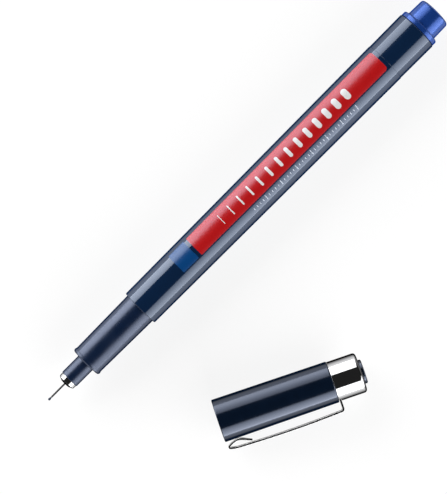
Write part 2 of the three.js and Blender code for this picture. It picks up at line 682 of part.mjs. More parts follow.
// Pocket clip: the strip seen from its side, trimmed to its plan, and joined to the yoke.
function pocketClip() {
  const side = new THREE.ExtrudeGeometry(stripShape(clipLine(), CLIP_THICKNESS), {
    depth: 2 * CLIP_ROOT_WIDTH,
    bevelEnabled: false,
  });
  side.translate(0, 0, -CLIP_ROOT_WIDTH).rotateX(Math.PI);
  const plan = new THREE.ExtrudeGeometry(clipPlan(), {
    depth: 2 * clipReach,
    bevelEnabled: false,
    curveSegments: 4,
  });
  plan.rotateX(Math.PI / 2);
  const halfAngle = THREE.MathUtils.degToRad(YOKE_HALF_ANGLE);
  const sector = new THREE.Shape();
  sector.absarc(0, 0, yokeOuterRadius, -halfAngle, halfAngle, false);
  sector.absarc(0, 0, yokeInnerRadius, halfAngle, -halfAngle, true);
  const yoke = new THREE.ExtrudeGeometry(sector, {
    depth: CLIP_THICKNESS,
    bevelEnabled: false,
    curveSegments: 8,
  });
  const outward = new THREE.Vector3(0, -1, 0);
  const upward = new THREE.Vector3(0, 0, 1);
  const toMouth = new THREE.Vector3(-1, 0, 0);
  yoke.applyMatrix4(new THREE.Matrix4().makeBasis(outward, upward, toMouth));
  yoke.translate(clipMiddle + CLIP_THICKNESS / 2, 0, 0);
  return geometryOf(solidOf(side).intersect(solidOf(plan)).add(solidOf(yoke)));
}

// How high the axis of a round piece lies when one of its facets is on the surface.
function lyingHeight(radius) {
  return radius * Math.cos(Math.PI / SIDES);
}

const pen = new THREE.Group();
pen.add(
  piece("fibre_nib", fibreNib(), INKED_FIBRE),
  piece("steel_sleeve", steelSleeve(), STEEL),
  piece("tip_ferrule", tipFerrule(), STEEL),
  piece("grip_section", gripSection(), NAVY_SATIN),
  piece("feed_wick", feedWick(), INKED_FIBRE),
  piece("ink_wadding", inkWadding(), INKED_FIBRE),
  piece("wadding_film", waddingFilm(), CLEAR_FILM),
  piece("barrel", barrel(), NAVY),
  piece("end_plug", endPlug(), INK_BLUE),
);
pen.position.z = lyingHeight(BARREL_REAR_RADIUS);

const cap = new THREE.Group();
cap.add(
  piece("cap_shell", capShell(), CAP_NAVY),
  piece("sealing_liner", sealingLiner(), NATURAL_PLASTIC),
  piece("pocket_clip", pocketClip(), CHROME),
  piece("bright_crown", brightCrown(), CHROME),
  piece("end_button", endButton(), CAP_NAVY),
);
cap.position.set(CAP_MOUTH_X, CAP_MOUTH_Y, lyingHeight(shellMouthRadius));
cap.rotation.z = THREE.MathUtils.degToRad(CAP_TURN);

// The origin goes to the middle of the footprint.
const whole = new THREE.Group();
whole.add(pen, cap);
const footprint = new THREE.Box3().setFromObject(whole, true).getCenter(new THREE.Vector3());
whole.position.set(-footprint.x, -footprint.y, 0);
whole.updateMatrixWorld(true);

export default whole;
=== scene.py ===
import bpy
import numpy as np
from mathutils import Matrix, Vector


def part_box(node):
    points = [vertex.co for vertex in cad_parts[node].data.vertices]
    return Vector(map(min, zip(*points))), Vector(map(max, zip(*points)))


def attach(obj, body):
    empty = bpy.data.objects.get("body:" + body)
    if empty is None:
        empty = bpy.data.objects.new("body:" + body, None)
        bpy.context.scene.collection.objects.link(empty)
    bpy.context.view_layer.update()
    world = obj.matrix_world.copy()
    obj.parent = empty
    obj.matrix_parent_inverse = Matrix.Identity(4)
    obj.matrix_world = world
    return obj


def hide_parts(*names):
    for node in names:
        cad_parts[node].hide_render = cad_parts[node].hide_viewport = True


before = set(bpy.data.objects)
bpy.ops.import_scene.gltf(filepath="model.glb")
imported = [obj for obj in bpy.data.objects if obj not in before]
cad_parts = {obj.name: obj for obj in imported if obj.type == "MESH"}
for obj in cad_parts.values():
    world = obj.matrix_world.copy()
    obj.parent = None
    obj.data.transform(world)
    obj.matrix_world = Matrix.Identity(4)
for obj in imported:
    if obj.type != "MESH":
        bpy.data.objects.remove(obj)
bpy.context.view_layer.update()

# Barrel. The long navy tube is injection moulded in a hard gloss plastic, a little wider to the
# rear, with a slimmer land at its rear end. It is pad printed along its upper side with a red
# panel, a blue block, and plain white marks.
barrel_low, barrel_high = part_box("barrel")
PEN = (
    (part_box("fibre_nib")[0].x, (barrel_low.y + barrel_high.y) / 2, (barrel_low.z + barrel_high.z) / 2),
    0.0,
)


def rounded_outline(corners, steps=7, hold=0.035):
    """Straight lines through corners (x, r, fillet), in millimetres. A fillet is the arc of that
    radius tangent to both lines at a corner. Two holding points keep the shading of each straight
    part flat: they lie a small distance inside its ends."""
    points = np.array([c[:2] for c in corners], float)
    fillets = [c[2] if len(c) > 2 else 0.0 for c in corners]
    line = []
    for k, (point, fillet) in enumerate(zip(points, fillets)):
        if fillet == 0 or k in (0, len(points) - 1):
            line.append(point[None])
            continue
        back = points[k - 1] - point
        on = points[k + 1] - point
        back, on = back / np.linalg.norm(back), on / np.linalg.norm(on)
        half = np.arccos(np.clip(back @ on, -1, 1)) / 2
        centre = (back + on) / np.linalg.norm(back + on) * fillet / np.sin(half)
        start = back * fillet / np.tan(half) - centre
        end = on * fillet / np.tan(half) - centre
        turn = np.arctan2(start[0] * end[1] - start[1] * end[0], start @ end)
        angles = turn * np.linspace(0, 1, steps + 1)[:, None]
        quarter = np.array([-start[1], start[0]])
        line.append(point + centre + start * np.cos(angles) + quarter * np.sin(angles))
    line = np.concatenate(line)
    step = np.diff(line, axis=0)
    length = np.linalg.norm(step, axis=1)
    share = np.where(length > 6 * hold, hold / np.maximum(length, 1e-9), 0.5)[:, None]
    held = np.stack([line[:-1], line[:-1] + step * share, line[1:] - step * share], 1)
    keep = np.repeat((length > 6 * hold)[:, None], 3, 1)
    keep[:, 0] = True
    return np.concatenate([held[keep], line[-1:]])


def turned_surface(name, outline, place, sides=160, span=None):
    """Surface of revolution of an outline of (x, r) in millimetres: a point is the axis point at x
    plus r times (up * cos a + across * sin a), for a going once round, or over a span of angles.
    Points on the axis become one vertex. The outline runs from front to rear along the outside, and
    back along the inside if the piece is hollow."""
    (origin, turn) = place
    along = np.array([np.cos(turn), np.sin(turn), 0])
    up = np.array([0.0, 0.0, 1.0])
    across = np.cross(along, up)
    x, r = outline[:, 0], np.where(outline[:, 1] < 1e-6, 0, outline[:, 1])
    if span is None:
        angles = 2 * np.pi * (np.arange(sides) + 0.5) / sides
    else:
        angles = np.linspace(span[0], span[1], sides)
    ring = np.cos(angles)[:, None] * up + np.sin(angles)[:, None] * across
    grid = np.array(origin) + 0.001 * (x[:, None, None] * along + r[:, None, None] * ring[None])
    index = np.arange(len(x) * len(angles)).reshape(len(x), -1)
    index[r == 0] = index[r == 0][:, :1]
    upper, lower = index[:-1], index[1:]
    if span is None:
        beside_upper, beside_lower = np.roll(upper, -1, 1), np.roll(lower, -1, 1)
    else:
        upper, beside_upper = upper[:, :-1], upper[:, 1:]
        lower, beside_lower = lower[:, :-1], lower[:, 1:]
    quads = np.stack([upper, beside_upper, beside_lower, lower], -1).reshape(-1, 4)
    same = quads[:, 0] == quads[:, 1]
    far_same = quads[:, 2] == quads[:, 3]
    faces = quads[~same & ~far_same].tolist()
    faces += quads[same & ~far_same][:, [0, 2, 3]].tolist()
    faces += quads[far_same & ~same][:, [0, 1, 2]].tolist()
    if span is not None:
        faces += [index[:-1, 0].tolist(), index[:-1, -1][::-1].tolist()]
    return surface_object(name, grid.reshape(-1, 3), faces)


def surface_object(name, points, faces):
    """A mesh object of the points in use, smooth but for edges of more than 34 degrees."""
    used = np.unique(np.concatenate([np.asarray(f) for f in faces]))
    renumber = np.zeros(len(points), int)
    renumber[used] = np.arange(len(used))
    mesh = bpy.data.meshes.new(name)
    mesh.from_pydata(points[used].tolist(), [], [renumber[np.asarray(f)].tolist() for f in faces])
    mesh.shade_smooth()
    mesh.set_sharp_from_angle(angle=np.radians(34))
    made = bpy.data.objects.new(name, mesh)
    bpy.context.scene.collection.objects.link(made)
    return made


def add(tree, kind, inputs=None, **settings):
    """One shader node with its settings. Each input is a value or another node's socket."""
    made = tree.nodes.new("ShaderNode" + kind)
    for key, value in settings.items():
        setattr(made, key, value)
    for key, value in (inputs or {}).items():
        if isinstance(value, bpy.types.NodeSocket):
            tree.links.new(value, made.inputs[key])
        else:
            made.inputs[key].default_value = value
    return made


def calc(tree, operation, *values):
    """The result of a Math node."""
    return add(tree, "Math", dict(enumerate(values)), operation=operation).outputs[0]


def blend_colours(tree, share, below, above):
    """A colour between two, by a share from 0 to 1."""
    made = add(tree, "Mix", {0: share, 6: below, 7: above}, data_type="RGBA")
    return made.outputs[2]


def spread(tree, value, low, high, to_low, to_high):
    """A value carried from one range to another, and held at its ends."""
    return add(tree, "MapRange", {0: value, 1: low, 2: high, 3: to_low, 4: to_high}).outputs[0]


def new_finish(name):
    """An empty material, with its node tree and its shader."""
    material = bpy.data.materials.new(name)
    material.use_nodes = True
    tree = material.node_tree
    return material, tree, tree.nodes["Principled BSDF"]


def piece_space(tree, place, stretch=(1, 1, 1)):
    """Object coordinates in millimetres with X along the piece from its front end."""
    (origin, turn) = place
    scale = [0.001 * s for s in stretch]
    coordinates = add(tree, "TexCoord").outputs["Object"]
    inputs = {"Vector": coordinates, "Location": origin, "Rotation": (0, 0, turn), "Scale": scale}
    return add(tree, "Mapping", inputs, vector_type="TEXTURE").outputs[0]


def grain(tree, space, scale, detail=3.0, roughness=0.55):
    """Noise from 0 to 1, with its scale in patches a millimetre."""
    inputs = {"Vector": space, "Scale": scale, "Detail": detail, "Roughness": roughness}
    return add(tree, "TexNoise", inputs).outputs[0]


def moulded(tree, shader, place, roughness, texture_scale, texture_depth, low_angle=(1.0, 0.62)):
    """The skin of a moulding: a fine tool texture, a slow sink of the surface, hair scratches along
    the piece from use, and a roughness that varies with all three."""
    space = piece_space(tree, place)
    fine = grain(tree, space, texture_scale, 4.0)
    slow = grain(tree, space, 0.16, 2.0)
    hair = grain(tree, piece_space(tree, place, (9, 1, 1)), 5.5, 2.0)
    scratch = spread(tree, hair, 0.66, 0.74, 0, 1)
    worn = calc(tree, "ADD", spread(tree, slow, 0.3, 0.7, 0.85, 1.15), calc(tree, "MULTIPLY", scratch, 0.5))
    tree.links.new(calc(tree, "MULTIPLY", worn, roughness), shader.inputs["Roughness"])
    relief = calc(tree, "SUBTRACT", fine, calc(tree, "MULTIPLY", scratch, 0.35))
    bump = add(tree, "Bump", {"Height": relief, "Strength": 1.0, "Distance": texture_depth})
    tree.links.new(bump.outputs[0], shader.inputs["Normal"])
    tree.links.new(outline_fade(tree, *low_angle), shader.inputs["Specular IOR Level"])
    return space


def outline_fade(tree, peak, end):
    """The strength of the mirror image: half in front view, up to a peak where the surface begins
    to mirror the table, and weak at the outline."""
    facing = add(tree, "LayerWeight", {"Blend": 0.5}).outputs["Facing"]
    rise = spread(tree, facing, 0.26, 0.33, 0.5, peak)
    return calc(tree, "MULTIPLY", rise, spread(tree, facing, 0.37, end, 1, 0))


def panel(tree, along, around, middle, half, corner):
    """1 inside a rectangle with round corners on the unrolled barrel, 0 outside: the distance to it
    is the length of the positive part of |p - middle| - (half - corner), less the corner."""
    point = add(tree, "CombineXYZ", {0: along, 1: around, 2: 0.0}).outputs[0]
    shift = add(tree, "VectorMath", {0: point, 1: (*middle, 0)}, operation="SUBTRACT").outputs[0]
    size = add(tree, "VectorMath", {0: shift}, operation="ABSOLUTE").outputs[0]
    inner = (half[0] - corner, half[1] - corner, 0)
    past = add(tree, "VectorMath", {0: size, 1: inner}, operation="SUBTRACT").outputs[0]
    outside = add(tree, "VectorMath", {0: past, 1: (0, 0, 0)}, operation="MAXIMUM").outputs[0]
    distance = add(tree, "VectorMath", {0: outside}, operation="LENGTH").outputs["Value"]
    return spread(tree, distance, corner - 0.02, corner + 0.02, 1, 0)


def printed_barrel():
    """Gloss navy plastic with its print, laid out on the unrolled surface: x in millimetres from the
    writing point, and the arc from the top of the barrel towards its left side."""
    material, tree, shader = new_finish("navy_gloss_printed")
    space = moulded(tree, shader, PEN, 0.1, 3.0, 2.5e-7)
    parts = add(tree, "SeparateXYZ", {0: space}).outputs
    barrel_radius = 5.15
    along = parts[0]
    around = calc(tree, "MULTIPLY", calc(tree, "ARCTAN2", parts[1], parts[2]), barrel_radius)
    # The red panel has square corners in front and round ones at its rear.
    panel_arc, panel_half = 1.52, 3.08
    round_rear = panel(tree, along, around, (81.1, panel_arc), (31.0, panel_half), 0.9)
    square_front = panel(tree, along, around, (60.1, panel_arc), (10.0, panel_half), 0.12)
    in_front = calc(tree, "LESS_THAN", along, 60)
    behind = calc(tree, "SUBTRACT", 1, in_front)
    red = calc(tree, "MAXIMUM", calc(tree, "MULTIPLY", round_rear, behind),
               calc(tree, "MULTIPLY", square_front, in_front))
    blue = panel(tree, along, around, (46.68, panel_arc), (2.48, panel_half), 0.12)
    # White strokes of growing width, a plain gauge: stroke k is a pill of half width w around its
    # middle, so the distance to it is |(local x, how far |arc| passes h - w)| - w.
    pitch, first, count, stroke_arc, half_length = 3.2, 57.6, 14, 1.3, 1.5
    lane = calc(tree, "DIVIDE", calc(tree, "SUBTRACT", along, first), pitch)
    number = calc(tree, "FLOOR", lane)
    local = calc(tree, "MULTIPLY", calc(tree, "SUBTRACT", calc(tree, "FRACT", lane), 0.5), pitch)
    half_width = calc(tree, "ADD", calc(tree, "MULTIPLY", number, 0.055), 0.09)
    height = calc(tree, "ABSOLUTE", calc(tree, "SUBTRACT", around, stroke_arc))
    straight = calc(tree, "SUBTRACT", half_length, half_width)
    past = calc(tree, "MAXIMUM", calc(tree, "SUBTRACT", height, straight), 0)
    squares = calc(tree, "ADD", calc(tree, "MULTIPLY", local, local), calc(tree, "MULTIPLY", past, past))
    reach = calc(tree, "SQRT", squares)
    stroke = spread(tree, calc(tree, "SUBTRACT", reach, half_width), -0.02, 0.02, 1, 0)
    inside = calc(tree, "MULTIPLY", calc(tree, "GREATER_THAN", lane, 0),
                  calc(tree, "LESS_THAN", lane, count))
    stroke = calc(tree, "MULTIPLY", stroke, inside)
    # Small pale ticks a millimetre apart beside the panel, every fifth one longer.
    ticks_from, ticks_to, tick_arc = 66, 101, -2.9
    tick = calc(tree, "ABSOLUTE", calc(tree, "SUBTRACT", calc(tree, "FRACT", along), 0.5))
    fives = calc(tree, "DIVIDE", calc(tree, "FLOOR", along), 5)
    fifth = calc(tree, "LESS_THAN", calc(tree, "FRACT", fives), 0.1)
    tall = calc(tree, "ADD", calc(tree, "MULTIPLY", fifth, 0.45), 0.3)
    offset = calc(tree, "ABSOLUTE", calc(tree, "SUBTRACT", around, tick_arc))
    tick = calc(tree, "MULTIPLY", spread(tree, tick, 0.06, 0.1, 1, 0),
                spread(tree, calc(tree, "SUBTRACT", offset, tall), -0.02, 0.02, 1, 0))
    tick_zone = calc(tree, "MULTIPLY", calc(tree, "GREATER_THAN", along, ticks_from),
                     calc(tree, "LESS_THAN", along, ticks_to))
    tick = calc(tree, "MULTIPLY", tick, tick_zone)
    colour = blend_colours(tree, red, (0.0037, 0.0166, 0.0520, 1), (0.50, 0.0068, 0.0076, 1))
    colour = blend_colours(tree, blue, colour, (0.0015, 0.055, 0.205, 1))
    colour = blend_colours(tree, stroke, colour, (0.80, 0.80, 0.80, 1))
    colour = blend_colours(tree, tick, colour, (0.62, 0.66, 0.74, 1))
    tree.links.new(colour, shader.inputs["Base Color"])
    # The inks are less glossy than the bare plastic.
    ink = calc(tree, "MAXIMUM", red, blue)
    bare = shader.inputs["Roughness"].links[0].from_socket
    printed = calc(tree, "ADD", bare, calc(tree, "MULTIPLY", ink, 0.2))
    tree.links.new(printed, shader.inputs["Roughness"])
    shine = shader.inputs["Specular IOR Level"].links[0].from_socket
    dulled = calc(tree, "MULTIPLY", shine, spread(tree, ink, 0, 1, 1, 0.74))
    tree.links.new(dulled, shader.inputs["Specular IOR Level"])
    shader.inputs["IOR"].default_value = 1.68
    shader.inputs["Specular Tint"].default_value = (0.72, 0.82, 1, 1)
    return material


barrel = turned_surface(
    "barrel_moulding",
    rounded_outline(
        [
            (30.8, 4.27),
            (30.8, 4.85, 0.2),
            (113.03, 5.31, 0.02),
            (113.1, 5.24, 0.02),
            (123.58, 5.31, 0.12),
            (123.78, 5.11, 0.04),
            (123.78, 4.55),
            (117.23, 4.55),
            (117.23, 4.22),
            (41.85, 3.94),
            (41.85, 4.27),
            (30.8, 4.27),
        ]
    ),
    PEN,
)
barrel.data.materials.append(printed_barrel())
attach(barrel, "pen")
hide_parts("barrel")

# Grip section. One moulding: a slim neck, then the grip with its square front edge and the low bead
# that the cap clicks over. It has a spark-eroded satin skin.


def satin_grip():
    """Navy plastic with a spark-eroded skin, a little uneven in tone."""
    material, tree, shader = new_finish("navy_satin")
    space = moulded(tree, shader, PEN, 0.29, 14.0, 1.6e-6)
    tone = spread(tree, grain(tree, space, 1.1), 0.35, 0.65, 0, 1)
    colour = blend_colours(tree, tone, (0.0023, 0.0102, 0.0350, 1), (0.0030, 0.0122, 0.0410, 1))
    tree.links.new(colour, shader.inputs["Base Color"])
    shader.inputs["IOR"].default_value = 1.68
    shader.inputs["Specular Tint"].default_value = (0.67, 0.76, 1, 1)
    return material


grip = turned_surface(
    "grip_moulding",
    rounded_outline(
        [
            (7.08, 1.97),
            (7.08, 2.34, 0.03),
            (7.16, 2.42, 0.05),
            (12.6, 2.42, 0.35),
            (12.6, 3.88, 0.08),
            (12.82, 4.08, 0.14),
            (13.15, 4.165, 0.3),
            (13.6, 4.005, 0.3),
            (30.8, 4.24),
            (41.4, 4.24),
            (41.8, 3.84),
            (41.8, 3.5),
            (34.8, 3.5),
            (34.8, 1.0),
            (10.23, 1.0),
            (10.23, 1.97),
            (7.08, 1.97),
        ]
    ),
    PEN,
)
grip.data.materials.append(satin_grip())
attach(grip, "pen")
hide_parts("grip_section")

# Writing point. A turned stainless ferrule pressed into the neck holds a drawn steel sleeve, whose
# rolled front edge holds the fibre nib. The nib is soaked with blue ink.


def painted_outline_shade(tree, place, start, full):
    """Painted shade for bright metal: 0 in front view and 1 at the outline, or where the surface faces
    along the piece's axis, where its colour is darkened to stand in for the dark surroundings that it
    would mirror. The outline's band is wide on steep sides only."""
    facing = add(tree, "LayerWeight", {"Blend": 0.5}).outputs["Facing"]
    normal = add(tree, "TexCoord").outputs["Normal"]
    upward = calc(tree, "ABSOLUTE", add(tree, "SeparateXYZ", {0: normal}).outputs[2])
    steep = spread(tree, upward, 1 - full, 1 - start, 1, 0)
    band = calc(tree, "MINIMUM", spread(tree, facing, start, full, 0, 1), steep)
    outline = calc(tree, "MAXIMUM", band, spread(tree, facing, 0.72, 0.92, 0, 1))
    axis = (np.cos(place[1]), np.sin(place[1]), 0)
    endward = add(tree, "VectorMath", {0: normal, 1: axis}, operation="DOT_PRODUCT").outputs["Value"]
    ends = spread(tree, calc(tree, "ABSOLUTE", endward), 0.15, 0.5, 0, 1)
    return calc(tree, "MAXIMUM", outline, ends)


def turned_steel(name, place, colour, roughness, groove_scale):
    """Turned or drawn metal: fine rings across the axis from the tool, a few stains, and painted
    shade at the outline.
    """
    material, tree, shader = new_finish(name)
    rings = grain(tree, piece_space(tree, place, (1, 40, 40)), groove_scale, 2.0)
    stain = grain(tree, piece_space(tree, place), 1.4, 3.0)
    rough = calc(tree, "MULTIPLY", spread(tree, stain, 0.3, 0.7, 0.75, 1.3), roughness)
    tree.links.new(rough, shader.inputs["Roughness"])
    bump = add(tree, "Bump", {"Height": rings, "Strength": 1.0, "Distance": 4e-7})
    tree.links.new(bump.outputs[0], shader.inputs["Normal"])
    shader.inputs["Metallic"].default_value = 1.0
    shader.inputs["Specular Tint"].default_value = (0.05, 0.05, 0.05, 1)
    shade = spread(tree, stain, 0.3, 0.75, 0, 1)
    darker = tuple(c * 0.86 for c in colour[:3]) + (1,)
    plain = blend_colours(tree, shade, colour, darker)
    # Painted shade: towards the outline and the faces along the axis the colour darkens to 7 percent of
    # itself, standing in for dark surroundings in the mirror image.
    edge = tuple(c * 0.07 for c in colour[:3]) + (1,)
    share = painted_outline_shade(tree, place, 0.565, 0.61)
    tree.links.new(blend_colours(tree, share, plain, edge), shader.inputs["Base Color"])
    return material


ferrule = turned_surface(
    "ferrule_turning",
    rounded_outline(
        [
            (5.54, 0.25),
            (5.54, 1.2, 0.06),
            (5.96, 2.08, 0.08),
            (6.1, 2.22, 0.06),
            (7.03, 2.28, 0.05),
            (7.03, 1.94),
            (10.18, 1.94),
            (10.18, 1.0),
            (8.14, 1.0),
            (8.14, 0.25),
            (5.54, 0.25),
        ]
    ),
    PEN,
    112,
)
ferrule.data.materials.append(turned_steel("turned_steel", PEN, (0.80, 0.80, 0.80, 1), 0.09, 9.0))
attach(ferrule, "pen")
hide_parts("tip_ferrule")

sleeve = turned_surface(
    "sleeve_tube",
    rounded_outline([(0.9, 0.16), (0.9, 0.18), (1.35, 0.22, 0.2), (8.14, 0.22), (8.14, 0.16), (0.9, 0.16)]),
    PEN,
    64,
)
# The sleeve's near-black colour is painted shade: the dark surroundings that its steel mirrors are put into
# its colour.
sleeve.data.materials.append(turned_steel("drawn_steel", PEN, (0.04, 0.04, 0.042, 1), 0.24, 20.0))
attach(sleeve, "pen")
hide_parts("steel_sleeve")


def inked_fibre(name, place, colour):
    """Bonded fibres that run along the piece, darker where ink stands between them."""
    material, tree, shader = new_finish(name)
    strands = grain(tree, piece_space(tree, place, (14, 1, 1)), 16.0, 3.0)
    dark = tuple(c * 0.4 for c in colour[:3]) + (1,)
    tone = spread(tree, strands, 0.35, 0.65, 0, 1)
    tree.links.new(blend_colours(tree, tone, dark, colour), shader.inputs["Base Color"])
    tree.links.new(spread(tree, strands, 0.3, 0.7, 0.45, 0.8), shader.inputs["Roughness"])
    bump = add(tree, "Bump", {"Height": strands, "Strength": 1.0, "Distance": 6e-6})
    tree.links.new(bump.outputs[0], shader.inputs["Normal"])
    return material


nib = turned_surface(
    "nib_head",
    rounded_outline(
        [
            (0.0, 0.0),
            (0.0, 0.31, 0.28),
            (0.4, 0.3, 0.2),
            (0.85, 0.18),
            (0.85, 0.13),
            (12.0, 0.13),
            (12.0, 0.0),
        ]
    ),
    PEN,
    64,
)
nib_fibre = inked_fibre("inked_fibre", PEN, (0.030, 0.048, 0.097, 1))
nib.data.materials.append(nib_fibre)
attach(nib, "pen")
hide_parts("fibre_nib")

# Ink supply inside the barrel: the feed wick, the bonded fibre wadding and its thin film. They
# are out of sight, and keep their CAD shapes.
for node in ("feed_wick", "ink_wadding"):
    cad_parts[node].data.materials.clear()
    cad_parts[node].data.materials.append(nib_fibre)


def thin_film():
    """Wrapping film with wrinkles along the piece."""
    material, tree, shader = new_finish("wadding_film_clear")
    wrinkle = grain(tree, piece_space(tree, PEN, (3, 1, 1)), 0.9, 3.0)
    tree.links.new(spread(tree, wrinkle, 0.3, 0.7, 0.2, 0.4), shader.inputs["Roughness"])
    bump = add(tree, "Bump", {"Height": wrinkle, "Strength": 1.0, "Distance": 2e-5})
    tree.links.new(bump.outputs[0], shader.inputs["Normal"])
    shader.inputs["Base Color"].default_value = (0.58, 0.67, 0.85, 1)
    return material


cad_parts["wadding_film"].data.materials.clear()
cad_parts["wadding_film"].data.materials.append(thin_film())

# End plug. A blue moulding in the ink's colour, pressed into the rear of the barrel: a rounded
# flange, then the knob with a soft edge, a slight dome, and the gate mark in its middle.


def blue_plastic():
    """Gloss plastic in the ink's blue, a little uneven in tone."""
    material, tree, shader = new_finish("ink_blue_gloss")
    space = moulded(tree, shader, PEN, 0.2, 6.0, 6e-7)
    tone = spread(tree, grain(tree, space, 0.5), 0.35, 0.65, 0, 1)
    colour = blend_colours(tree, tone, (0.0083, 0.039, 0.198, 1), (0.0094, 0.044, 0.224, 1))
    tree.links.new(colour, shader.inputs["Base Color"])
    shader.inputs["IOR"].default_value = 2.1
    shader.inputs["Specular Tint"].default_value = (0.20, 0.35, 1, 1)
    return material


plug = turned_surface(
    "plug_moulding",
    rounded_outline(
        [
            (128.85, 0.0),
            (128.85, 3.18),
            (117.28, 3.18),
            (117.28, 4.52),
            (123.83, 4.52),
            (123.83, 5.18, 0.06),
            (125.08, 5.18, 0.4),
            (125.08, 4.26, 0.2),
            (129.92, 4.14, 0.75),
            (130.0, 2.4, 0.9),
            (130.0, 0.72, 0.05),
            (129.9, 0.58, 0.05),
            (129.9, 0.0),
        ]
    ),
    PEN,
)
plug.data.materials.append(blue_plastic())
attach(plug, "pen")
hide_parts("end_plug")

# Cap shell. A thin gloss moulding in a darker navy, open at the mouth, slightly drafted, with a
# rounded shoulder where the crown begins. It lies turned beside the pen.
CAP = ((-0.04012, -0.008687, 0.005269), np.radians(-26.15))


def dark_gloss(name, colour):
    """The cap's gloss plastic, a little uneven in tone."""
    material, tree, shader = new_finish(name)
    space = moulded(tree, shader, CAP, 0.15, 3.0, 2.5e-7, (0.68, 0.55))
    tone = spread(tree, grain(tree, space, 0.4), 0.35, 0.65, 0, 1)
    lighter = tuple(c * 1.2 for c in colour[:3]) + (1,)
    tree.links.new(blend_colours(tree, tone, colour, lighter), shader.inputs["Base Color"])
    shader.inputs["IOR"].default_value = 1.68
    shader.inputs["Specular Tint"].default_value = (0.68, 0.77, 1, 1)
    return material


shell = turned_surface(
    "cap_shell_moulding",
    rounded_outline(
        [
            (0.3, 4.48),
            (0.0, 4.66, 0.06),
            (0.0, 5.28, 0.2),
            (28.7, 5.1, 0.24),
            (28.7, 3.75),
            (35.05, 3.75),
            (35.05, 2.23),
            (32.85, 2.23),
            (32.85, 2.78),
            (27.28, 2.78),
            (27.28, 3.86),
            (18.45, 3.86, 0.05),
            (18.45, 4.24),
            (0.3, 4.48),
        ]
    ),
    CAP,
)
cap_gloss = dark_gloss("cap_navy_gloss", (0.0020, 0.0063, 0.0170, 1))
shell.data.materials.append(cap_gloss)
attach(shell, "cap")
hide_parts("cap_shell")

# Sealing liner. A soft uncoloured cup deep in the shell, which closes round the neck. It keeps its
# CAD shape.


def soft_liner():
    """Soft uncoloured plastic with a fine skin, which lets some light in."""
    material, tree, shader = new_finish("liner_soft")
    space = piece_space(tree, CAP)
    fine = grain(tree, space, 8.0, 3.0)
    tree.links.new(spread(tree, fine, 0.3, 0.7, 0.4, 0.55), shader.inputs["Roughness"])
    bump = add(tree, "Bump", {"Height": fine, "Strength": 1.0, "Distance": 2e-6})
    tree.links.new(bump.outputs[0], shader.inputs["Normal"])
    shader.inputs["Base Color"].default_value = (0.74, 0.76, 0.745, 1)
    shader.inputs["Subsurface Weight"].default_value = 0.3
    shader.inputs["Subsurface Radius"].default_value = (0.001, 0.001, 0.001)
    return material


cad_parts["sealing_liner"].data.materials.clear()
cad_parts["sealing_liner"].data.materials.append(soft_liner())

# Bright crown. A chromed cup over the shell's spigot with a generously rounded end, notched at its
# front edge where the clip's leg comes out.


def chrome(name, place):
    """Bright plating: all but a mirror, with a slow ripple, faint wipe marks, a few dull spots, and
    painted shade at the outline and the rounded end.
    """
    material, tree, shader = new_finish(name)
    space = piece_space(tree, place)
    ripple = grain(tree, space, 0.35, 1.0)
    wipe = spread(tree, grain(tree, piece_space(tree, place, (1, 8, 8)), 7.0, 2.0), 0.62, 0.75, 0, 1)
    dull = spread(tree, grain(tree, space, 1.3, 4.0), 0.45, 0.75, 0.03, 0.09)
    tree.links.new(calc(tree, "ADD", dull, calc(tree, "MULTIPLY", wipe, 0.05)), shader.inputs["Roughness"])
    bump = add(tree, "Bump", {"Height": ripple, "Strength": 1.0, "Distance": 1.5e-6})
    tree.links.new(bump.outputs[0], shader.inputs["Normal"])
    shader.inputs["Metallic"].default_value = 1.0
    # Painted shade: towards the outline and the rounded end the plating's colour goes to a dark grey,
    # standing in for the dark surroundings in its mirror image.
    share = painted_outline_shade(tree, place, 0.3, 0.62)
    colour = blend_colours(tree, share, (0.83, 0.83, 0.84, 1), (0.12, 0.12, 0.123, 1))
    tree.links.new(colour, shader.inputs["Base Color"])
    shader.inputs["Specular Tint"].default_value = (0.05, 0.05, 0.05, 1)
    return material


def cap_point(x, across, up):
    """A point of the cap's own space, in millimetres, in the row frame."""
    (origin, turn) = CAP
    along = np.array([np.cos(turn), np.sin(turn), 0])
    left = np.array([-np.sin(turn), np.cos(turn), 0])
    x, across, up = np.broadcast_arrays(x, across, up)
    return np.array(origin) + 0.001 * (
        x[..., None] * along + across[..., None] * left + up[..., None] * np.array([0, 0, 1.0])
    )


crown_cup = turned_surface(
    "crown_cup",
    rounded_outline(
        [
            (28.75, 4.54),
            (28.75, 4.92, 0.06),
            (35.85, 4.92, 0.75),
            (35.85, 2.23, 0.05),
            (35.1, 2.23),
            (35.1, 3.78),
            (29.39, 3.78),
            (29.39, 4.54),
            (28.75, 4.54),
        ]
    ),
    CAP,
)
notch = np.meshgrid([28.1, 29.39], [-8.6, -3.75], [-1.92, 1.92], indexing="ij")
block = np.stack(notch, -1).reshape(-1, 3)
sides_of_block = [(0, 1, 3, 2), (4, 6, 7, 5), (0, 4, 5, 1), (2, 3, 7, 6), (0, 2, 6, 4), (1, 5, 7, 3)]
cutter = surface_object("notch_cutter", cap_point(*block.T), sides_of_block)
cut = crown_cup.modifiers.new("notch", "BOOLEAN")
cut.operation, cut.object, cut.solver = "DIFFERENCE", cutter, "EXACT"
evaluated = crown_cup.evaluated_get(bpy.context.evaluated_depsgraph_get())
notched = bpy.data.meshes.new_from_object(evaluated)
crown = bpy.data.objects.new("crown_bright", notched)
bpy.context.scene.collection.objects.link(crown)
for spare in (crown_cup, cutter):
    bpy.data.objects.remove(spare)
crown.data.shade_smooth()
crown.data.set_sharp_from_angle(angle=np.radians(34))
crown.data.materials.clear()
crown.data.materials.append(chrome("chrome_crown", CAP))
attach(crown, "cap")
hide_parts("bright_crown")

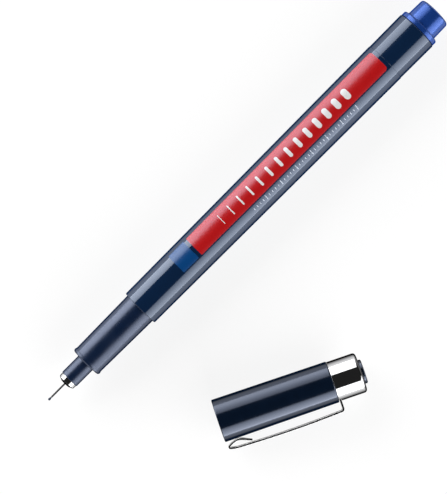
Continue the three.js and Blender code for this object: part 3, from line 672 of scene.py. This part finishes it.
# End button. A gloss moulded disc with a bevelled rim, in the shell's dark navy. Its stem is
# pressed through the crown into the closed end of the shell.
button = turned_surface(
    "button_disc",
    rounded_outline(
        [
            (34.3, 0.0),
            (34.3, 2.2),
            (35.9, 2.2),
            (35.9, 2.95, 0.05),
            (36.4, 2.95, 0.06),
            (36.6, 2.75, 0.06),
            (36.6, 0.0),
        ]
    ),
    CAP,
)
button.data.materials.append(cap_gloss)
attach(button, "cap")
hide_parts("end_button")

# Pocket clip. One chromed spring-steel strip: a curved yoke held under the crown's skirt, a leg out
# through the notch, a bowed arm, and a foot folded back so that its arch bears on the shell.
SHELL_AT_FOOT = 5.28 - 0.18 * 3 / 28.7  # the shell's radius 3 mm from its mouth
CLIP_THICKNESS = 0.45
CLIP_REACH = 7.24  # from the cap's axis to the middle of the arm
CLIP_ROOT, CLIP_FOLD = 29.045, 0.55  # from the mouth to the leg and to the fold
CLIP_BOW = 0.5


def clip_line():
    """The middle line of the strip: x along the cap and y out from its axis. The tip and the fold
    are bent in by shares of the room under the arm, and so are the foot's arc and its tail."""
    foot_height = SHELL_AT_FOOT + 0.12 + CLIP_THICKNESS / 2
    room = CLIP_REACH - foot_height - CLIP_THICKNESS
    bend = 2.76 * room
    angles = np.radians(np.linspace(-27, 25, 19))
    foot = np.stack([3 + bend * np.sin(angles), foot_height + bend * (1 - np.cos(angles))], -1)
    tail = foot[-1] + 1.76 * room * np.array([np.cos(angles[-1]), np.sin(angles[-1])])
    middle = (CLIP_FOLD + CLIP_ROOT) / 2
    half = middle - CLIP_FOLD
    tip = CLIP_REACH + CLIP_BOW / half * (2.2 - CLIP_FOLD)
    fold_top, fold_low = CLIP_REACH - 0.27 * room, foot_height + 0.69 * room
    fold = 0.64 * (fold_top - fold_low)
    leg = [(CLIP_ROOT, 4.14), (CLIP_ROOT, CLIP_REACH, 0.62)]
    arm = [(middle, CLIP_REACH + CLIP_BOW, 0.7 * half * half / CLIP_BOW), (2.2, tip, 8)]
    folded = [(CLIP_FOLD, fold_top, fold), (CLIP_FOLD, fold_low, fold)]
    return rounded_outline(leg + arm + folded + [tuple(p) for p in foot] + [tuple(tail)], 24, 0.06)


def swept_strip(line, half_width, thickness, edge):
    """Points and faces of a strip along a line: at each station the section is a rounded rectangle,
    four corner arcs of radius edge around (half width - edge, half thickness - edge), with the
    thickness along the line's normal and the width straight up."""
    step = np.gradient(line, axis=0)
    step /= np.linalg.norm(step, axis=1)[:, None]
    normal = np.stack([-step[:, 1], step[:, 0]], -1)
    arc = np.concatenate([[-0.02], np.radians(np.linspace(0, 90, 5)), [np.pi / 2 + 0.02]])
    angles = np.concatenate([arc + k * np.pi / 2 for k in range(4)])
    sign_u = np.repeat([1, -1, -1, 1], len(arc))
    sign_v = np.repeat([1, 1, -1, -1], len(arc))
    hold = np.tile(np.array([1] + [0] * 5 + [1]), 4) * 0.02
    shift_u = np.where(np.abs(np.sin(angles)) > 0.7, -sign_u * hold, 0)
    shift_v = np.where(np.abs(np.cos(angles)) > 0.7, -sign_v * hold, 0)
    u = sign_u * (half_width[:, None] - edge) + edge * np.cos(angles) + shift_u
    v = sign_v * (thickness / 2 - edge) + edge * np.sin(angles) + shift_v
    x = line[:, :1] + normal[:, :1] * v
    out = line[:, 1:] + normal[:, 1:] * v
    points = cap_point(x, -out, u).reshape(-1, 3)
    count = len(angles)
    index = np.arange(len(points)).reshape(-1, count)
    beside = np.roll(index, -1, 1)
    quads = np.stack([index[:-1], index[1:], beside[1:], beside[:-1]], -1).reshape(-1, 4)
    return points, quads.tolist() + [index[0].tolist(), index[-1][::-1].tolist()]


# Half the strip's width: 1.4 mm at the foot and 1.8 at the root, with round corners at both ends.
line = clip_line()
x_along = np.clip(line[:, 0], 0.11, None)
straight = 1.4 + 0.4 * (x_along - 0.9) / (29.5 - 0.9)
corner_share = 1 - np.sqrt(np.clip((x_along - 0.1) / 0.8, 0, 1))
half_width = np.where(x_along > 0.9, straight, 1.4 - 0.8 * corner_share**2)
travelled = np.concatenate([[0], np.cumsum(np.linalg.norm(np.diff(line, axis=0), axis=1))])
left = travelled[-1] - travelled
tail_share = 0.35 + 0.65 * np.sqrt(np.clip(left * (2 - left), 0, 1))
half_width = np.where(left < 1.0, half_width * tail_share, half_width)
strip_points, strip_faces = swept_strip(line, half_width, CLIP_THICKNESS, 0.045)
yoke_outline = np.array([(28.82, 3.87), (28.82, 4.42), (29.27, 4.42), (29.27, 3.87), (28.82, 3.87)])
yoke = turned_surface("clip_yoke", yoke_outline, CAP, 24, (np.pi / 2 - np.pi / 6, np.pi / 2 + np.pi / 6))
yoke_points = np.array([v.co for v in yoke.data.vertices])
yoke_faces = [[k + len(strip_points) for k in p.vertices] for p in yoke.data.polygons]
bpy.data.objects.remove(yoke)
clip = surface_object("clip_strip", np.concatenate([strip_points, yoke_points]), strip_faces + yoke_faces)
clip.data.materials.append(chrome("chrome_clip", CAP))
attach(clip, "clip")
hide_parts("pocket_clip")

# Studio. A white surface that keeps a faint shadow, tall soft boxes that stand on it along both
# sides of pen and cap, and pale walls under a dark ceiling, so that each round piece shows two
# bright strips.
FLOOR_HALF, FLOOR_HEIGHT = 3, -2e-5
quarters = ((-1, -1), (1, -1), (1, 1), (-1, 1))
floor_corners = [(x * FLOOR_HALF, y * FLOOR_HALF, FLOOR_HEIGHT) for x, y in quarters]
floor_mesh = bpy.data.meshes.new("floor")
floor_mesh.from_pydata(floor_corners, [], [(0, 1, 2, 3)])
floor = bpy.data.objects.new("floor", floor_mesh)
bpy.context.scene.collection.objects.link(floor)
paper = bpy.data.materials.new("white_paper")
paper.use_nodes = True
tree = paper.node_tree
tree.nodes.clear()
path = add(tree, "LightPath").outputs
mirror_ray = calc(tree, "MAXIMUM", path["Is Glossy Ray"], path["Is Transmission Ray"])
seen = calc(tree, "MAXIMUM", path["Is Camera Ray"], mirror_ray)
lit = add(tree, "BsdfDiffuse", {"Color": (0.8, 0.8, 0.8, 1)}).outputs[0]
# Near the pieces the floor is a white that a shadow still darkens, further out it is plain white.
faint = add(tree, "BsdfDiffuse", {"Color": (0.22, 0.22, 0.22, 1)}).outputs[0]
glow = add(tree, "Emission", {"Color": (1, 1, 1, 1), "Strength": 0.83}).outputs[0]
near = add(tree, "AddShader", {0: faint, 1: glow}).outputs[0]
blank = add(tree, "Emission", {"Color": (1, 1, 1, 1), "Strength": 1.0}).outputs[0]
spot = add(tree, "TexCoord").outputs["Object"]
reach = add(tree, "VectorMath", {0: spot}, operation="LENGTH").outputs["Value"]
shown = add(tree, "MixShader", {0: spread(tree, reach, 0.2, 0.36, 0, 1), 1: near, 2: blank}).outputs[0]
surface = add(tree, "MixShader", {0: seen, 1: lit, 2: shown}).outputs[0]
add(tree, "OutputMaterial", {"Surface": surface})
paper.cycles.emission_sampling = "NONE"
floor_mesh.materials.append(paper)


def level_ramp(tree, share, levels):
    """A value from 0 to 10 that runs through levels at even steps of a share from 0 to 1."""
    ramp = add(tree, "ValToRGB", {0: share})
    for k, level in enumerate(levels):
        stop = ramp.color_ramp.elements.new(k / (len(levels) - 1)) if 0 < k < len(levels) - 1 else None
        stop = stop or ramp.color_ramp.elements[0 if k == 0 else -1]
        stop.color = (level / 10, level / 10, level / 10, 1)
    return calc(tree, "MULTIPLY", ramp.outputs[0], 10)


def soft_box(name, foot, azimuth, width, height, levels, lengthwise=(1, 1)):
    """An upright area light that stands on the floor and faces against its azimuth. The levels are
    its radiance at evenly spaced heights, from the floor to its top edge, and are multiplied by a
    share at evenly spaced places along its length."""
    light = bpy.data.lights.new(name, "AREA")
    light.shape = "RECTANGLE"
    light.size, light.size_y = width, height
    light.energy = np.pi * width * height
    light.use_nodes = True
    tree = light.node_tree
    parts = add(tree, "SeparateXYZ", {0: add(tree, "NewGeometry").outputs["Parametric"]}).outputs
    upwards = level_ramp(tree, parts[1], levels)
    radiance = calc(tree, "MULTIPLY", upwards, level_ramp(tree, parts[0], lengthwise))
    tree.links.new(radiance, tree.nodes["Emission"].inputs["Strength"])
    made = bpy.data.objects.new(name, light)
    made.location = (foot[0], foot[1], height / 2)
    made.rotation_euler = (np.pi / 2, 0, np.pi / 2 + azimuth)
    bpy.context.scene.collection.objects.link(made)


soft_box("pen_box_left", (-0.155, 0.473), np.pi / 2, 0.59, 0.48, (4.9, 6.2, 6.2, 5.7, 4.9, 4.0),
         (0.72, 0.88, 1, 0.8, 0.8, 0.8, 0.8, 0.8))
soft_box("pen_box_right", (0.165, -0.427), -np.pi / 2, 0.57, 0.53, (3.8, 4.45, 3.9, 3.2, 2.55, 1.4))
beside = np.pi / 2 + CAP[1]
soft_box("cap_box_left", (0.199, 0.430), beside, 0.13, 0.63, (3.4, 3.95, 3.2, 2.45, 1.9, 1.5))
soft_box("cap_box_right", (-0.245, -0.466), beside + np.pi, 0.20, 0.57, (5.3, 4.65, 4.05, 3.5, 2.6, 1.0))

# The two objects aren't mirrored in each other, so that their bright strips stay whole.
inner_names = ("feed_wick", "ink_wadding", "wadding_film", "sealing_liner")
inner_pieces = [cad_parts[node] for node in inner_names]
for piece in (barrel, grip, shell, crown, button, clip, *inner_pieces):
    piece.visible_glossy = False

# The world is white for the camera. Mirrors show pale walls that darken upwards, and on the pieces
# it is all but dark.
world = bpy.data.worlds.new("studio")
bpy.context.scene.world = world
world.use_nodes = True
tree = world.node_tree
tree.nodes.clear()
path = add(tree, "LightPath").outputs
height = add(tree, "SeparateXYZ", {0: add(tree, "TexCoord").outputs["Generated"]}).outputs[2]
horizon = spread(tree, height, 0.0, 0.03, 1.0, 0.0)
walls = calc(tree, "MAXIMUM", horizon, spread(tree, height, 0.0, 0.6, 0.8, 0.0))
mirror_ray = calc(tree, "MAXIMUM", path["Is Glossy Ray"], path["Is Transmission Ray"])
mirrored = calc(tree, "MULTIPLY", mirror_ray, walls)
dim_fill = 0.016
strength = calc(tree, "MAXIMUM", calc(tree, "MAXIMUM", path["Is Camera Ray"], mirrored), dim_fill)
background = add(tree, "Background", {"Color": (1, 1, 1, 1), "Strength": strength}).outputs[0]
add(tree, "OutputWorld", {"Surface": background})

# Camera. It looks straight down, as the photograph does, turned so that the pen runs up to the
# right.
PIXEL = 0.23715e-3  # metres, at the height of the pen's axis
PIXELS_HIGH = 494
RISE, RUN = 0.7083, 0.7059  # the pen's direction in the picture
LENS, SENSOR = 200, 36
camera_data = bpy.data.cameras.new("camera")
camera_data.lens = LENS
camera_data.sensor_width = SENSOR
camera_data.sensor_fit = "AUTO"
camera = bpy.data.objects.new("camera", camera_data)
bpy.context.scene.collection.objects.link(camera)
bpy.context.scene.camera = camera
distance = LENS / SENSOR * PIXELS_HIGH * PIXEL
camera.location = (PEN[0][0] + 0.05502, PEN[0][1] - 0.00377, PEN[0][2] + distance)
camera.rotation_euler = (0, 0, -np.arctan2(RISE, RUN))
camera_data.clip_start, camera_data.clip_end = 0.01, 10

bpy.context.scene.view_settings.view_transform = "Standard"
